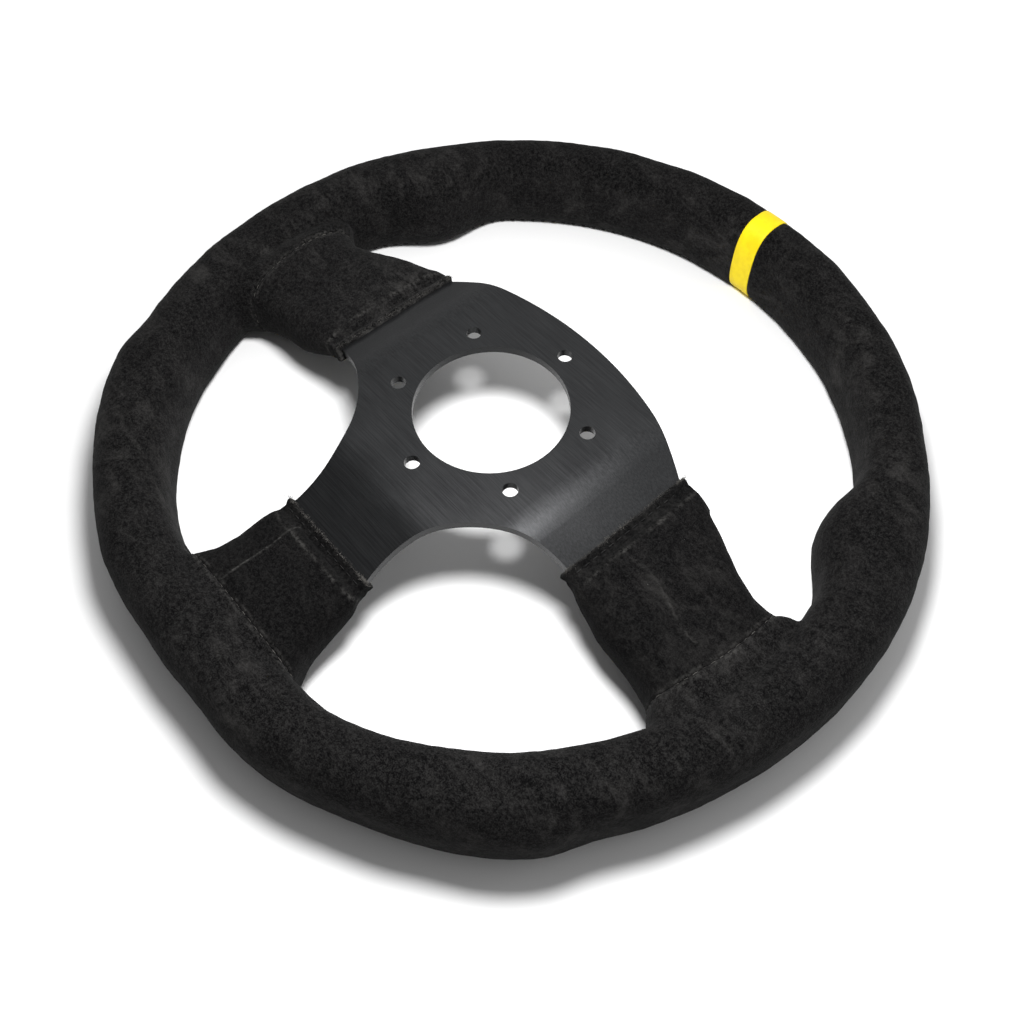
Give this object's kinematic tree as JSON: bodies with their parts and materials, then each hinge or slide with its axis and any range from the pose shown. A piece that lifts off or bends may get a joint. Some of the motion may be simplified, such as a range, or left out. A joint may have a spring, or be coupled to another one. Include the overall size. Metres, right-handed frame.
{
  "type": "motorsport steering wheel",
  "caption": "Dished three-spoke steering wheel: bent alloy plate with central bore and bolt circle, flat-bottom foam rim covered in suede, sewn suede sleeves and a twelve o'clock stripe.",
  "frame": {"origin": "centre of the six-bolt circle, on the hub mounting face of the spoke plate", "axes": "+Z along the steering axis towards the column, +Y towards twelve o'clock, +X to the right when seen from the column side; the wheel lies driver's side down"},
  "size_m": [0.2982, 0.292, 0.0398],
  "materials": {
    "black_anodised": "brushed, black anodised",
    "armature_steel": "drawn, unpainted",
    "rivet_alloy": "satin",
    "foam": "moulded polyurethane foam",
    "suede": "suede nap",
    "yellow_stripe": "matte, smooth",
    "thread": "waxed thread",
    "seam_thread": "waxed thread"
  },
  "bodies": {
    "root": {"spoke_plate": "black_anodised", "rim_hoop": "armature_steel", "hoop_tab_left": "armature_steel", "hoop_tab_right": "armature_steel", "hoop_tab_bottom": "armature_steel", "spoke_rivets": "rivet_alloy", "tab_welds": "armature_steel", "rim_foam": "foam", "rim_cover": "suede", "centre_stripe": "yellow_stripe", "spoke_sleeve_left": "suede", "spoke_sleeve_right": "suede", "spoke_sleeve_bottom": "suede", "hem_thread_left": "thread", "hem_thread_right": "thread", "hem_thread_bottom": "thread", "seam_thread_left": "seam_thread", "seam_thread_right": "seam_thread", "seam_thread_bottom": "seam_thread", "cover_seam_thread": "thread"}
  },
  "joints": []
}
